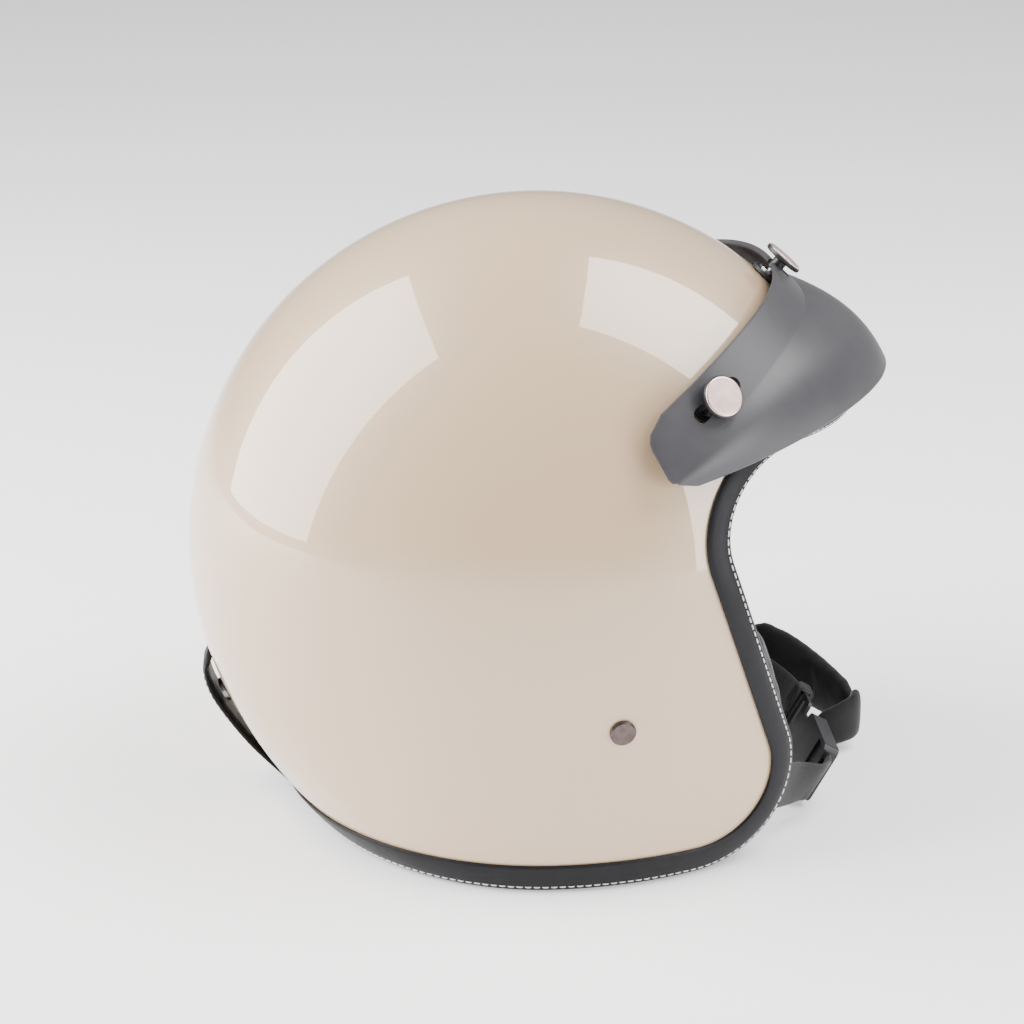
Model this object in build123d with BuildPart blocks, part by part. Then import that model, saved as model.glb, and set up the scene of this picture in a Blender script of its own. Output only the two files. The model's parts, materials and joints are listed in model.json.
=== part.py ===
from build123d import *
from math import cos, exp, radians, sin, sqrt
import os

os.makedirs("parts", exist_ok=True)

# Open face motorcycle helmet standing on its rim.
# +X is the wearer's forward, +Y the wearer's left, +Z up; z = 0 is the plane of the rim.

# ---- driving dimensions, mm and degrees ----
half_length = 147.0  # shell envelope, rear to centre
half_width = 119.0
half_height = 148.0
centre_z = 112.0  # height of the widest section above the rim
side_spread = 0.95  # how much the lower sides stay out, against a plain ellipsoid
front_spread = 0.70

shell_thickness = 4.0
shell_short = 2.0  # the shell stops this far inside the free edge of the trim
trim_width = 10.0
trim_outer = 1.4
trim_inner = 1.0

brow_height = 186.0  # underside of the painted shell at the brow
cheek_point = (61.0, 133.0)  # a point on the front edge of the cheek, X and Z
cheek_lean = 0.344  # forward travel of that edge for each mm down
brow_corner_radius = 40.0
chin_corner_radius = 32.0

liner_gap = 0.3
crown_liner_depth = 32.0  # inner face of the impact liner, from the shell's outside
comfort_liner_depth = 40.0
liner_hem = 97.0  # height of the crown liner's lower edge beside the face
rear_hem = 48.0
strap_pocket = 11.2  # depth where the cheek pieces start; the straps run outside them
cheek_core_depth = 24.0
cheek_inner_y = 62.0
cheek_rear_x = -20.0
cheek_low_z = 12.0

webbing_width = 22.0
webbing_thickness = 2.0
webbing_depth = 8.4
rivet_x = 26.0
rivet_z = 71.0

peak_thickness = 2.5
peak_axis_x = 25.0  # the peak's sections fan out from this upright axis
peak_end_angle = 86.0
side_stud_x = 60.0
side_stud_z = 196.0
centre_stud_x = 96.0
slot_width = 6.6
sleeve_radius = 3.0
post_radius = 2.0
cap_radius = 8.5
fit = 0.05  # radial clearance of a running fit

buckle_centre = (118.0, -24.0, 15.5)
buckle_face = (0.876, 0, -0.482)  # the way the buckle's lever side looks
buckle_length = 36.0
buckle_width = 27.0
buckle_thickness = 7.0


# ---- the shell envelope ----
def half_axes(z, depth):
    """Front, rear and side half-axes of the level section at height z, a depth inside the shell."""
    if z >= centre_z:
        ring = sqrt(max(0.0, 1 - ((z - centre_z) / (half_height - depth)) ** 2))
        return (half_length - depth) * ring, (half_length - depth) * ring, (half_width - depth) * ring
    drop = (centre_z - z) / half_height
    ring = sqrt(1 - drop**2)
    front = half_length * (1 + front_spread * drop**3) * ring - depth
    side = half_width * (1 + side_spread * drop**3) * ring - depth
    return front, half_length * ring - depth, side


def surface_y(x, z, depth=0.0):
    """Distance of the envelope from the middle plane at a place seen from the side."""
    front, rear, side = half_axes(z, depth)
    return side * sqrt(1 - (x / (front if x > 0 else rear)) ** 2)


def surface_plane(x, z, side, x_dir=(0, 0, 1)):
    """Plane that touches the shell's outside, looking outwards; side is -1, 0 or 1 in Y."""
    if side == 0:
        outward = Vector(x / half_length**2, 0, (z - centre_z) / half_height**2)
        return Plane(origin=(x, 0, z), x_dir=(0, 1, 0), z_dir=outward)
    step = 0.01
    y = surface_y(x, z)
    slope_x = (surface_y(x + step, z) - surface_y(x - step, z)) / (2 * step)
    slope_z = (surface_y(x, z + step) - surface_y(x, z - step)) / (2 * step)
    outward = Vector(-slope_x, side, -slope_z).normalized()
    along = Vector(*x_dir)
    along = along - outward * along.dot(outward)
    return Plane(origin=(x, side * y, z), x_dir=along, z_dir=outward)


def level_section(z, depth):
    front, rear, side = half_axes(z, depth)
    with BuildSketch(Plane.XY.offset(z)) as section:
        with BuildLine():
            EllipticalCenterArc((0, 0), front, side, start_angle=-90, arc_size=180)
            EllipticalCenterArc((0, 0), rear, side, start_angle=90, arc_size=180)
        make_face()
    return section.sketch


def envelope(depth):
    """The solid inside the shell's outer surface, moved in by depth, open to below the rim."""
    lower = [-8 + 24 * step for step in range(5)]
    crown = half_height - depth
    upper = [centre_z + crown * sin(radians(angle)) for angle in (0, 13, 26, 39, 51, 62, 72, 81)]
    sections = [level_section(z, depth) for z in lower + upper]
    with BuildPart() as solid:
        loft(sections=[*sections, Vertex(0, 0, centre_z + crown)])
    return solid.part


def face_outline(reach):
    """Corners and radii of the opening's edge in side view, moved into the opening by reach."""
    brow = brow_height - reach
    floor = trim_width - reach
    shift = reach * sqrt(1 + cheek_lean**2)

    def cheek_x(z):
        return cheek_point[0] + (cheek_point[1] - z) * cheek_lean + shift

    corners = [(cheek_x(brow), brow), (cheek_x(floor), floor)]
    return corners, (brow_corner_radius - reach, chin_corner_radius + reach)


def covered(reach):
    """Everything behind and above the edge of the face opening and the rim."""
    (brow_corner, chin_corner), radii = face_outline(reach)
    far = 220.0
    high = 300.0
    with BuildPart() as region:
        with BuildSketch(Plane.XZ):
            with BuildLine():
                FilletPolyline(
                    (far, brow_corner[1]), brow_corner, chin_corner, (-far, chin_corner[1]), radius=radii
                )
                Polyline((-far, chin_corner[1]), (-far, high), (far, high), (far, brow_corner[1]))
            make_face()
        extrude(amount=160, both=True)
    return region.part


def block(low, high):
    """A plain box between two corners, for cutting."""
    size = [high[i] - low[i] for i in range(3)]
    middle = [(high[i] + low[i]) / 2 for i in range(3)]
    return Pos(*middle) * Box(*size, mode=Mode.PRIVATE)


def disc(plane, radius, start, end, bore=0.0):
    """A washer or peg standing on a plane, between two heights."""
    with BuildPart() as piece:
        with BuildSketch(plane.offset(start)):
            Circle(radius)
            if bore:
                Circle(bore, mode=Mode.SUBTRACT)
        extrude(amount=end - start)
    return piece.part


def finish(part, name):
    part.label = name
    export_step(part, f"parts/{name}.step")


# ---- places of the fasteners ----
slot_direction = Vector(18.5, 0, 11.5)
side_studs = {
    "right": surface_plane(side_stud_x, side_stud_z, -1, slot_direction),
    "left": surface_plane(side_stud_x, side_stud_z, 1, slot_direction),
}
centre_stud_z = centre_z + half_height * sqrt(1 - (centre_stud_x / half_length) ** 2)
centre_stud = surface_plane(centre_stud_x, centre_stud_z, 0)
studs = {**side_studs, "centre": centre_stud}
cap_seat = {"right": 12.8, "left": 12.8, "centre": 9.6}  # underside of each cap above the shell
rivets = {"right": surface_plane(rivet_x, rivet_z, -1), "left": surface_plane(rivet_x, rivet_z, 1)}
tab_snap_z = 46.0
tab_snap_x = -half_axes(tab_snap_z, 0)[1]
rear_slope = Vector(tab_snap_x / half_length**2, 0, (tab_snap_z - centre_z) / half_height**2)
tab_snap = Plane(origin=(tab_snap_x, 0, tab_snap_z), x_dir=(0, 1, 0), z_dir=rear_slope)

# ---- outer shell ----
rivet_radius = 2.4
nut_radius = 3.2
outside = envelope(0)
with BuildPart() as outer_shell:
    add(outside)
    add(envelope(shell_thickness), mode=Mode.SUBTRACT)
    add(covered(trim_width - shell_short), mode=Mode.INTERSECT)
    for plane in studs.values():
        add(disc(plane, nut_radius + fit, -12, 6), mode=Mode.SUBTRACT)
    for plane in rivets.values():
        add(disc(plane, rivet_radius + fit, -12, 6), mode=Mode.SUBTRACT)
    add(disc(tab_snap, post_radius + fit, -12, 6), mode=Mode.SUBTRACT)
finish(outer_shell.part, "outer_shell")

# ---- edge trim: a leather channel over the whole edge ----
with BuildPart() as edge_trim:
    add(envelope(-trim_outer))
    add(envelope(shell_thickness + trim_inner), mode=Mode.SUBTRACT)
    add(covered(trim_width), mode=Mode.INTERSECT)
    add(covered(0), mode=Mode.SUBTRACT)
    add(outer_shell.part, mode=Mode.SUBTRACT)
finish(edge_trim.part, "edge_trim")


# ---- impact liner and padding ----
def liner_zone(hem, rear):
    """The crown, with its lower edge stepped down behind the ears."""
    step_x = -30.0
    with BuildPart() as zone:
        with BuildSketch(Plane.XZ):
            with BuildLine():
                FilletPolyline(
                    (-200, 300), (-200, rear), (step_x, rear), (step_x, hem), (200, hem), (200, 300),
                    radius=8, close=True,
                )
            make_face()
        extrude(amount=160, both=True)
    return zone.part


with BuildPart() as crown_impact_liner:
    add(envelope(shell_thickness + liner_gap))
    add(envelope(crown_liner_depth), mode=Mode.SUBTRACT)
    add(covered(-1.0), mode=Mode.INTERSECT)
    add(liner_zone(liner_hem, rear_hem), mode=Mode.INTERSECT)
    for plane in studs.values():
        add(disc(plane, 8.5, -9, 0), mode=Mode.SUBTRACT)
finish(crown_impact_liner.part, "crown_impact_liner")

with BuildPart() as crown_comfort_liner:
    add(envelope(crown_liner_depth + liner_gap))
    add(envelope(comfort_liner_depth), mode=Mode.SUBTRACT)
    add(covered(-1.0), mode=Mode.INTERSECT)
    add(liner_zone(liner_hem + 4, rear_hem + 4), mode=Mode.INTERSECT)
finish(crown_comfort_liner.part, "crown_comfort_liner")

with BuildPart() as brow_pad:
    add(envelope(shell_thickness + trim_inner + liner_gap))
    add(envelope(comfort_liner_depth), mode=Mode.SUBTRACT)
    add(covered(8.0), mode=Mode.INTERSECT)
    add(covered(-0.6), mode=Mode.SUBTRACT)
    add(block((0, -160, liner_hem + 2), (200, 160, 300)), mode=Mode.INTERSECT)
finish(brow_pad.part, "brow_pad")

pocket = envelope(strap_pocket)
core_inside = envelope(cheek_core_depth)
pad_inside = envelope(cheek_core_depth + liner_gap)
core_region = covered(-1.0)
pad_region = covered(trim_width + 3.0)
for name, side in (("right", -1), ("left", 1)):
    core_span = sorted((side * (cheek_inner_y + 2), side * 160))
    pad_span = sorted((side * cheek_inner_y, side * 160))
    with BuildPart() as cheek_core:
        add(pocket)
        add(core_inside, mode=Mode.SUBTRACT)
        add(core_region, mode=Mode.INTERSECT)
        add(
            block((cheek_rear_x + 2, core_span[0], cheek_low_z + 2), (200, core_span[1], liner_hem - 3)),
            mode=Mode.INTERSECT,
        )
    finish(cheek_core.part, f"cheek_core_{name}")
    with BuildPart() as cheek_pad:
        add(pocket)
        add(pad_region, mode=Mode.INTERSECT)
        add(
            block((cheek_rear_x, pad_span[0], cheek_low_z), (200, pad_span[1], liner_hem - 1)),
            mode=Mode.INTERSECT,
        )
        add(
            (pocket - pad_inside) & covered(-0.7) & block((-200, -160, -10), (200, 160, 300)),
            mode=Mode.SUBTRACT,
        )
    finish(cheek_pad.part, f"cheek_pad_{name}")

with BuildPart() as nape_roll:
    add(envelope(shell_thickness + trim_inner + liner_gap))
    add(envelope(36.0), mode=Mode.SUBTRACT)
    add(block((-200, -160, 4), (-35, 160, rear_hem - 2)), mode=Mode.INTERSECT)
finish(nape_roll.part, "nape_roll")


# ---- chin strap: rivets, anchor plates and webbing ----
def ribbon(route_points, facings, width, thickness):
    """A flat band through the points, turned at each one to face the given way."""
    with BuildLine() as route:
        Spline(*route_points)
    path = route.edges()[0]
    sections = []
    for point, facing in zip(route_points, facings):
        tangent = path % path.param_at_point(point)
        across = facing.cross(tangent)
        with BuildSketch(Plane(origin=point, x_dir=across, z_dir=tangent)) as section:
            Rectangle(width, thickness)
        sections.append(section.sketch)
    with BuildPart() as band:
        loft(sections=sections, ruled=True)
    return band.part


plate_depth = 6.6  # inner face of the anchor plate, from the shell's outside
plate_thickness = 1.0
buckle = Plane(origin=buckle_centre, x_dir=(0, 1, 0), z_dir=buckle_face)
webbing_gap = 2.0  # from the webbing's end to the buckle
strap_down = Vector(0.79, 0, -0.61)  # the way the webbing leaves its rivet, seen from the side
for name, side in (("right", -1), ("left", 1)):
    plane = rivets[name]
    with BuildPart() as rivet:
        with BuildSketch(plane.offset(0.2)):
            Circle(5.3)
        extrude(amount=1.6)
        chamfer(rivet.faces().sort_by(Axis.Y)[0 if side < 0 else -1].edges(), 0.7)
        add(disc(plane, rivet_radius, -plate_depth, 0.2))
        add(disc(plane, 4.5, -plate_depth - 0.9, -plate_depth))
    finish(rivet.part, f"chin_strap_rivet_{name}")

    plate_top = plate_thickness - plate_depth
    finish(disc(plane, 6.0, plate_top, -4.2, rivet_radius + fit), f"rivet_washer_{name}")

    along = strap_down - plane.z_dir * strap_down.dot(plane.z_dir)
    plate_plane = Plane(origin=plane.origin - plane.z_dir * plate_depth, x_dir=along, z_dir=plane.z_dir)
    with BuildPart() as anchor_plate:
        with BuildSketch(plate_plane):
            with Locations((6, 0)):
                RectangleRounded(30, 25, 5)
            Circle(rivet_radius + fit, mode=Mode.SUBTRACT)
            with Locations((15, 0)):
                SlotOverall(21, 3, rotation=90, mode=Mode.SUBTRACT)
        extrude(amount=plate_thickness)
    finish(anchor_plate.part, f"strap_anchor_{name}")

    hidden_run = [(36, 63.5), (56, 48), (76, 34.5), (92, 26)]
    route = [(x, side * surface_y(x, z, webbing_depth), z) for x, z in hidden_run]
    facings = [surface_plane(x, z, side).z_dir for x, z in hidden_run]
    bend_y = 51 if side < 0 else 38
    end_y = buckle_centre[1] - buckle_length / 2 - webbing_gap if side < 0 else 20.4
    route += [(104, side * 60.5, 20), (115.5, side * bend_y, 16.4)]
    route += [(buckle_centre[0], end_y, buckle_centre[2])]
    facings += [(facings[-1] + buckle.z_dir).normalized(), buckle.z_dir, buckle.z_dir]
    finish(ribbon(route, facings, webbing_width, webbing_thickness), f"webbing_{name}")

with BuildPart() as strap_keeper:
    keeper_place = (buckle_centre[0], 21, buckle_centre[2])
    with BuildSketch(Plane(origin=keeper_place, x_dir=buckle.y_dir, z_dir=(0, 1, 0))):
        RectangleRounded(webbing_width + 5.0, webbing_thickness + 6.0, 2.5)
        Rectangle(webbing_width + 1.4, webbing_thickness + 2.8, mode=Mode.SUBTRACT)
    extrude(amount=7)
finish(strap_keeper.part, "strap_keeper")

pad_route = [(104, 76, 22.5), (120, 62, 17.5), (135, 49, 14), (142.5, 38, 12.5)]
pad_heights = [30, 33, 27, 21]
with BuildLine() as pad_line:
    Spline(*pad_route)
pad_sections = []
for step, height in enumerate(pad_heights):
    u = step / (len(pad_heights) - 1)
    tangent = pad_line.line % u
    with BuildSketch(
        Plane(origin=pad_line.line @ u, x_dir=Vector(0, 0, 1) - tangent * tangent.Z, z_dir=tangent)
    ) as pad_section:
        RectangleRounded(height, 5.0, 2.3)
    pad_sections.append(pad_section.sketch)
with BuildPart() as chin_pad:
    loft(sections=pad_sections)
finish(chin_pad.part, "chin_pad")

# ---- quick-release buckle ----
half_buckle = buckle_length / 2
tongue_width = 15.0
tongue_thickness = 2.4
channel_floor = -1.6  # height of the tongue's underside in the buckle
with BuildPart() as buckle_receiver:
    with BuildSketch(buckle.offset(-buckle_thickness / 2)):
        RectangleRounded(buckle_length, buckle_width, 3)
    extrude(amount=buckle_thickness)
    with BuildSketch(buckle.offset(channel_floor - fit)):
        Rectangle(buckle_length + 2, tongue_width + 2 * fit)
    extrude(amount=tongue_thickness + 2 * fit, mode=Mode.SUBTRACT)
    with BuildSketch(buckle.offset(channel_floor + tongue_thickness - fit)):
        with Locations((2, 0)):
            Rectangle(buckle_length - 8, 17.5)
    extrude(amount=buckle_thickness, mode=Mode.SUBTRACT)
    with BuildSketch(buckle.offset(-buckle_thickness)):
        with Locations((-half_buckle + 5, 0)):
            Rectangle(12, webbing_width + 1)
    extrude(amount=buckle_thickness - 2.6, mode=Mode.SUBTRACT)
pin_x = -half_buckle + 8
pin_z = 2.4
pin_radius = 0.9
pin_plane = Plane(origin=buckle.from_local_coords((pin_x, 0, pin_z)), x_dir=buckle.x_dir,
                  z_dir=-buckle.y_dir)
with BuildPart() as bored_receiver:
    add(buckle_receiver.part)
    with BuildSketch(pin_plane):
        Circle(pin_radius + fit)
    extrude(amount=buckle_width / 2 - 1, both=True, mode=Mode.SUBTRACT)
finish(bored_receiver.part, "buckle_receiver")

with BuildPart() as lever_pin:
    with BuildSketch(pin_plane):
        Circle(pin_radius)
    extrude(amount=buckle_width / 2 - 1.2, both=True)
finish(lever_pin.part, "lever_pin")

lever_width = 12.0
with BuildPart() as buckle_lever:
    with BuildSketch(pin_plane):
        with BuildLine():
            Polyline(
                (0, -1.2), (-1.2, 0), (-1.2, 1.2), (18, 2.6), (26, 3.4), (26, 1.6), (17, 0.6),
                (12, 0), (11.5, -1.4), (9, 0),
                close=True,
            )
        make_face()
        Circle(1.6)
        Circle(pin_radius + fit, mode=Mode.SUBTRACT)
    extrude(amount=lever_width / 2, both=True)
finish(buckle_lever.part, "buckle_lever")

spring_radius = 1.35
with BuildPart() as lever_springs:
    for edge in (-8.1, 6.5):
        with BuildSketch(pin_plane.offset(edge)):
            Circle(spring_radius + 0.15)
            Circle(pin_radius + 0.1, mode=Mode.SUBTRACT)
        extrude(amount=1.6)
finish(lever_springs.part, "lever_springs")

tongue_start = -2.0
tongue_end = 42.0
tooth_pitch = 2.5
with BuildPart() as buckle_tongue:
    with BuildSketch(buckle.offset(channel_floor)):
        with Locations(((tongue_start + tongue_end) / 2 - 6, 0)):
            Rectangle(tongue_end - tongue_start - 12, tongue_width - 2 * fit)
        with Locations((tongue_end - 6, 0)):
            RectangleRounded(12, webbing_width + 3, 2)
        with Locations((tongue_end - 5, 0)):
            SlotOverall(webbing_width - 1, 3, rotation=90, mode=Mode.SUBTRACT)
    extrude(amount=tongue_thickness - 0.8)
    with BuildSketch(buckle.offset(channel_floor + tongue_thickness - 0.8)):
        for tooth in range(9):
            with Locations((tongue_start + 2 + tooth * tooth_pitch, 0)):
                Rectangle(1.3, tongue_width - 4)
    extrude(amount=0.7)
finish(buckle_tongue.part, "buckle_tongue")


# ---- visor peak ----
def peak_section(angle):
    """Rim, crease, crown of the peak and free edge, as distance from the axis and height."""
    swing = min(abs(angle), 79.0)
    rim = (74 + 0.0044 * angle**2, 231 - 6.2e-5 * abs(angle) ** 3)
    crease = (86 + 0.0045 * swing**2, 219 - 9e-5 * swing**3)
    edge = (108 + 14 * exp(-((angle / 22) ** 2)) + 6 * (swing / 80) ** 4, 186 - 0.0026 * swing**2)
    return [Vector(*point) for point in (rim, crease, edge)]


def peak_profile(angle):
    rim, crease, edge = peak_section(angle)
    band = (crease - rim).normalized()
    chord = edge - crease
    rise = Vector(-chord.Y, chord.X).normalized()
    bulge = 0.12 * chord.length
    crown = (crease + edge) / 2 + rise * bulge
    inward = Vector(band.Y, -band.X) * peak_thickness
    drop = -rise * peak_thickness
    bend = (inward + drop).normalized() * peak_thickness
    heading = radians(angle)
    plane = Plane(
        origin=(peak_axis_x, 0, 0),
        x_dir=(cos(heading), sin(heading), 0),
        z_dir=(sin(heading), -cos(heading), 0),
    )
    with BuildSketch(plane) as profile:
        with BuildLine():
            Line(rim, crease)
            ThreePointArc(crease, crown, edge)
            Line(edge, edge + drop)
            ThreePointArc(edge + drop, crown + drop, crease + bend)
            Line(crease + bend, rim + inward)
            Line(rim + inward, rim)
        make_face()
    return profile.sketch


peak_angles = [-peak_end_angle + step * peak_end_angle / 7 for step in range(15)]
with BuildPart() as visor_peak:
    loft(sections=[peak_profile(angle) for angle in peak_angles])
    for name, plane in side_studs.items():
        with BuildSketch(plane.offset(3)):
            SlotOverall(26, slot_width)
        extrude(amount=20, mode=Mode.SUBTRACT)
    with BuildSketch(centre_stud.offset(3)):
        SlotOverall(15.4, slot_width, rotation=90)
    extrude(amount=20, mode=Mode.SUBTRACT)
finish(visor_peak.part, "visor_peak")

# ---- press studs and their caps ----
with BuildPart() as stud_backing_nuts:
    for plane in studs.values():
        add(disc(plane, 7.0, -6.2, -4.6, 1.6))
        add(disc(plane, nut_radius, -6.2, -0.3, 1.6))
finish(stud_backing_nuts.part, "stud_backing_nuts")

with BuildPart() as stud_base_washers:
    for plane in studs.values():
        add(disc(plane, 7.5, 0.4, 1.8, 3.4))
finish(stud_base_washers.part, "stud_base_washers")

for name, plane in studs.items():
    seat = cap_seat[name]
    with BuildPart() as stud:
        add(disc(plane, 5.2, 1.8, 3.0))
        add(disc(plane, 1.55, -5.5, 1.8))
        add(disc(plane, post_radius, 3.0, seat - 0.6))
        add(disc(plane, post_radius + 0.4, seat - 2.2, seat - 0.9))
    finish(stud.part, f"stud_{name}")

    with BuildPart() as snap_cap:
        add(disc(plane, sleeve_radius, 3.3, seat, post_radius + 0.45))
        add(disc(plane, cap_radius, seat, seat + 2.2))
        add(disc(plane, cap_radius - 1.2, seat + 1.7, seat + 3.0), mode=Mode.SUBTRACT)
    finish(snap_cap.part, f"snap_cap_{name}")

    finish(disc(plane, cap_radius - 1.25, seat + 1.7, seat + 2.5), f"cap_disc_{name}")

# ---- rear retainer tab ----
tab_width = 22.0
with BuildPart() as retainer_tab:
    with BuildSketch(Plane.XZ):
        with BuildLine():
            Spline((-139.4, 64.5), (-144.2, 57), (-138.8, 41), (-126, 23), (-111.5, 8.4))
            Line((-111.5, 8.4), (-108.2, 8.4))
            Spline((-108.2, 8.4), (-122.5, 25), (-136.2, 46), (-139.0, 60), (-139.4, 64.5))
        make_face()
    extrude(amount=tab_width / 2, both=True)
finish(retainer_tab.part, "retainer_tab")

with BuildPart() as tab_root:
    with BuildSketch(Plane.XZ):
        with BuildLine():
            Polyline((-111.3, 8.0), (-108.0, 8.0), (-100.9, 0.4), (-104.2, 0.4), close=True)
        make_face()
    extrude(amount=tab_width / 2, both=True)
    add(edge_trim.part, mode=Mode.SUBTRACT)
finish(tab_root.part, "tab_root")

with BuildPart() as tab_stud:
    add(disc(tab_snap, 5.0, 0.3, 1.5))
    add(disc(tab_snap, 1.6, 1.5, 3.4))
    add(disc(tab_snap, post_radius, -3.4, 0.3))
finish(tab_stud.part, "tab_stud")

finish(disc(tab_snap, 5.5, 1.8, 3.5, 1.7), "tab_socket")
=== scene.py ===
import json
from math import acos, atan2, cos, degrees, exp, hypot, pi, radians, sin, sqrt

import bmesh
import bpy
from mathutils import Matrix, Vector


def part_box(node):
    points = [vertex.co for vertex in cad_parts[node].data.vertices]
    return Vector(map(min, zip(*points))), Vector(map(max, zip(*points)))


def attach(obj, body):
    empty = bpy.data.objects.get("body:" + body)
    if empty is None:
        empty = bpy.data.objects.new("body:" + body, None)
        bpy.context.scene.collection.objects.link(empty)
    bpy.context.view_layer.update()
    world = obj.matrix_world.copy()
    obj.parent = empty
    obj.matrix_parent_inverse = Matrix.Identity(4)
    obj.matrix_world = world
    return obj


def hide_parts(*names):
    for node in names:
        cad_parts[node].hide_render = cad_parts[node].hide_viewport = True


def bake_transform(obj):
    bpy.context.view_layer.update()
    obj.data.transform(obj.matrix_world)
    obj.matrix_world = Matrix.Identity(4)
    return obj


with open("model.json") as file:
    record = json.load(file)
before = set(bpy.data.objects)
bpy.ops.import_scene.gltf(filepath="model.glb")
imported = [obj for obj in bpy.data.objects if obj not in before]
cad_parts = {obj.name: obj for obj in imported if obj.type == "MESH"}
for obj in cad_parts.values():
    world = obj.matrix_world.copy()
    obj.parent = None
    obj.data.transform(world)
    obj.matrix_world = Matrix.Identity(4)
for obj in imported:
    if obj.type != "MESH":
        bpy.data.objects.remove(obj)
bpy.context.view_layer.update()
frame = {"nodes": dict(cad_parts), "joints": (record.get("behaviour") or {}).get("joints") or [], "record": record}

# Shapes are worked out in millimetres, in the CAD frame, and become metres in make_mesh().
MM = 0.001
SIDES = (-1, 1)  # the wearer's right and left, along Y

# ---- the shell's envelope, as in the CAD ----
shell_low, shell_high = (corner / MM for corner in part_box("outer_shell"))
CENTRE_Z = 112.0  # height of the widest section
HALF_LENGTH = -shell_low.x
HALF_WIDTH = shell_high.y
HALF_HEIGHT = shell_high.z - CENTRE_Z
FRONT_SPREAD = 0.70
SIDE_SPREAD = 0.95

BROW_HEIGHT = 186.0
CHEEK_POINT = (61.0, 133.0)
CHEEK_LEAN = 0.344
CHEEK_NORM = sqrt(1 + CHEEK_LEAN**2)
CHEEK_ANGLE = atan2(CHEEK_LEAN, 1)  # the way the cheek's edge looks, above the horizon
BROW_RADIUS = 40.0
CHIN_RADIUS = 32.0
TRIM_WIDTH = 10.0


def spread_factors(z, front):
    """How far the section at height z reaches in X and in Y, against the unit sphere."""
    drop = max(0.0, (CENTRE_Z - z) / HALF_HEIGHT)
    length = HALF_LENGTH * (1 + FRONT_SPREAD * drop**3) if front else HALF_LENGTH
    return length, HALF_WIDTH * (1 + SIDE_SPREAD * drop**3)


def half_axes(z, depth):
    """Front, rear and side half-axes of the level section at height z, a depth inside the shell."""
    if z >= CENTRE_Z:
        ring = sqrt(max(0.0, 1 - ((z - CENTRE_Z) / (HALF_HEIGHT - depth)) ** 2))
        return (HALF_LENGTH - depth) * ring, (HALF_LENGTH - depth) * ring, (HALF_WIDTH - depth) * ring
    ring = sqrt(1 - ((CENTRE_Z - z) / HALF_HEIGHT) ** 2)
    front, side = spread_factors(z, True)
    return front * ring - depth, HALF_LENGTH * ring - depth, side * ring - depth


def surface_y(x, z, depth=0.0):
    front, rear, side = half_axes(z, depth)
    return side * sqrt(max(0.0, 1 - (x / (front if x > 0 else rear)) ** 2))


def surface_normal(x, z, side):
    """The shell's outward direction at a place seen from the side."""
    step = 0.05
    slope_x = (surface_y(x + step, z) - surface_y(x - step, z)) / (2 * step)
    slope_z = (surface_y(x, z + step) - surface_y(x, z - step)) / (2 * step)
    return Vector((-slope_x, side, -slope_z)).normalized()


# ---- the edge of the face opening and rim ----
def cheek_x(z):
    return CHEEK_POINT[0] + (CHEEK_POINT[1] - z) * CHEEK_LEAN


brow_arc = (cheek_x(BROW_HEIGHT - BROW_RADIUS) + BROW_RADIUS * CHEEK_NORM, BROW_HEIGHT - BROW_RADIUS)
chin_arc = (cheek_x(TRIM_WIDTH + CHIN_RADIUS) - CHIN_RADIUS * CHEEK_NORM, TRIM_WIDTH + CHIN_RADIUS)


def reach_of(x, z):
    """How far a place in side view lies beyond the painted edge, towards the opening."""
    from_brow = (x - brow_arc[0], z - brow_arc[1])
    angle = atan2(from_brow[1], from_brow[0]) % (2 * pi)
    if pi / 2 <= angle <= pi + CHEEK_ANGLE:
        return BROW_RADIUS - hypot(*from_brow)
    from_chin = (x - chin_arc[0], z - chin_arc[1])
    if -pi / 2 <= atan2(from_chin[1], from_chin[0]) <= CHEEK_ANGLE:
        return hypot(*from_chin) - CHIN_RADIUS
    past_cheek = (x - cheek_x(z)) / CHEEK_NORM
    return max(min(BROW_HEIGHT - z, past_cheek), TRIM_WIDTH - z)


def edge_point(stretch, share, reach, depth):
    """A point of the edge: stretches 0 brow, 1 brow corner, 2 cheek, 3 chin corner, 4 rim."""
    if stretch in (0, 4):
        z = (BROW_HEIGHT if stretch == 0 else TRIM_WIDTH) - reach
        front, rear, side = half_axes(z, depth)
        turn = acos((brow_arc[0] if stretch == 0 else chin_arc[0]) / front)
        angle = turn * share if stretch == 0 else turn + (pi - turn) * share
        return (front if cos(angle) > 0 else rear) * cos(angle), side * sin(angle), z
    brow_turn = pi / 2 + share * (pi / 2 + CHEEK_ANGLE) if stretch == 1 else pi + CHEEK_ANGLE
    chin_turn = CHEEK_ANGLE - share * (pi / 2 + CHEEK_ANGLE) if stretch == 3 else CHEEK_ANGLE
    upper = [
        brow_arc[0] + (BROW_RADIUS - reach) * cos(brow_turn),
        brow_arc[1] + (BROW_RADIUS - reach) * sin(brow_turn),
    ]
    lower = [
        chin_arc[0] + (CHIN_RADIUS + reach) * cos(chin_turn),
        chin_arc[1] + (CHIN_RADIUS + reach) * sin(chin_turn),
    ]
    along = {1: 0.0, 2: share, 3: 1.0}[stretch]
    x, z = (upper[i] + (lower[i] - upper[i]) * along for i in (0, 1))
    return x, surface_y(x, z, depth), z


EDGE_STRETCHES = ((0, 40), (1, 34), (2, 36), (3, 32), (4, 96))  # and the steps along each


def edge_stations():
    """(stretch, share, side) all the way round: along the right side and back along the left."""
    half = [(stretch, step / steps) for stretch, steps in EDGE_STRETCHES for step in range(steps)]
    half.append((4, 1.0))
    right = [(stretch, share, -1) for stretch, share in half]
    left = [(stretch, share, 1) for stretch, share in reversed(half[1:-1])]
    return right + left


def edge_line(reach, depth):
    points = []
    for stretch, share, side in edge_stations():
        x, y, z = edge_point(stretch, share, reach, depth)
        points.append(Vector((x, side * y, z)))
    return points


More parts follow.
